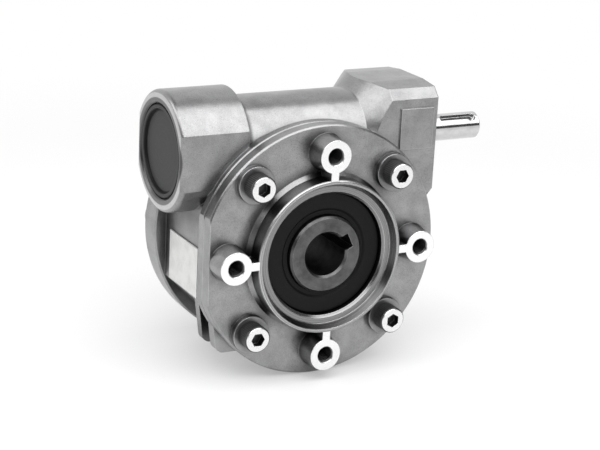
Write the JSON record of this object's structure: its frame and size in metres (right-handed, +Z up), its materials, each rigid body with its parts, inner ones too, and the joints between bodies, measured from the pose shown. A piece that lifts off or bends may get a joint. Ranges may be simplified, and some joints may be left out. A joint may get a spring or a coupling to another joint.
{
  "type": "worm gear reducer",
  "caption": "Right-angle worm gear reducer: cast housing with a bolted round front cover, hollow keyed output hub across it and a keyed input shaft on the worm axis above.",
  "frame": {"origin": "where the output axis meets the middle plane of the worm wheel, halfway along the output bore", "axes": "+X along the worm towards the input shaft, -Y out of the front cover along the output axis, +Z up towards the worm"},
  "size_m": [0.1161, 0.0596, 0.0903],
  "materials": {
    "cast_aluminium": "bead-blasted casting with machined faces",
    "screw_steel": "bright zinc plating",
    "shaft_steel": "turned and ground",
    "bearing_steel": "ground and polished",
    "cage_steel": "pressed sheet",
    "spring_steel": "black oxide",
    "wheel_bronze": "hobbed bronze",
    "seal_rubber": "moulded, matt",
    "cap_rubber": "moulded, matt",
    "plate_white": "bare white plate, no print"
  },
  "bodies": {
    "casing": {"housing": "cast_aluminium", "front_cover": "cast_aluminium", "cover_o_ring": "seal_rubber", "cover_screws": "screw_steel", "front_oil_seal": "seal_rubber", "front_seal_spring": "spring_steel", "rear_oil_seal": "seal_rubber", "rear_seal_spring": "spring_steel", "input_oil_seal": "seal_rubber", "input_seal_spring": "spring_steel", "end_cap": "cap_rubber", "left_circlip": "spring_steel", "right_circlip": "spring_steel", "nameplate": "plate_white", "front_bearing_outer_ring": "bearing_steel", "rear_bearing_outer_ring": "bearing_steel", "left_bearing_outer_ring": "bearing_steel", "right_bearing_outer_ring": "bearing_steel"},
    "output": {"output_hub": "shaft_steel", "worm_wheel_rim": "wheel_bronze", "front_bearing_inner_ring": "bearing_steel", "rear_bearing_inner_ring": "bearing_steel"},
    "worm": {"worm_shaft": "shaft_steel", "left_bearing_inner_ring": "bearing_steel", "right_bearing_inner_ring": "bearing_steel"},
    "front_rolling": {"front_bearing_balls": "bearing_steel", "front_bearing_cage": "cage_steel"},
    "rear_rolling": {"rear_bearing_balls": "bearing_steel", "rear_bearing_cage": "cage_steel"},
    "left_rolling": {"left_bearing_balls": "bearing_steel", "left_bearing_cage": "cage_steel"},
    "right_rolling": {"right_bearing_balls": "bearing_steel", "right_bearing_cage": "cage_steel"}
  },
  "joints": [
    {"name": "output_spin", "type": "hinge", "parent": "casing", "child": "output", "pos_m": [0, 0, 0], "axis": [0, 1, 0], "continuous": true},
    {"name": "worm_spin", "type": "hinge", "parent": "casing", "child": "worm", "pos_m": [0, 0, 0.03], "axis": [1, 0, 0], "continuous": true},
    {"name": "front_cage_spin", "type": "hinge", "parent": "casing", "child": "front_rolling", "pos_m": [0, -0.0132, 0], "axis": [0, 1, 0], "continuous": true},
    {"name": "rear_cage_spin", "type": "hinge", "parent": "casing", "child": "rear_rolling", "pos_m": [0, 0.0132, 0], "axis": [0, 1, 0], "continuous": true},
    {"name": "left_cage_spin", "type": "hinge", "parent": "casing", "child": "left_rolling", "pos_m": [-0.032, 0, 0.03], "axis": [1, 0, 0], "continuous": true},
    {"name": "right_cage_spin", "type": "hinge", "parent": "casing", "child": "right_rolling", "pos_m": [0.031, 0, 0.03], "axis": [1, 0, 0], "continuous": true}
  ],
  "couplings": [
    {"joint": "worm_spin", "follows": "output_spin", "ratio": -15},
    {"joint": "front_cage_spin", "follows": "output_spin", "ratio": 0.41181},
    {"joint": "rear_cage_spin", "follows": "output_spin", "ratio": 0.41181},
    {"joint": "left_cage_spin", "follows": "output_spin", "ratio": -5.7142},
    {"joint": "right_cage_spin", "follows": "output_spin", "ratio": -5.7142}
  ]
}
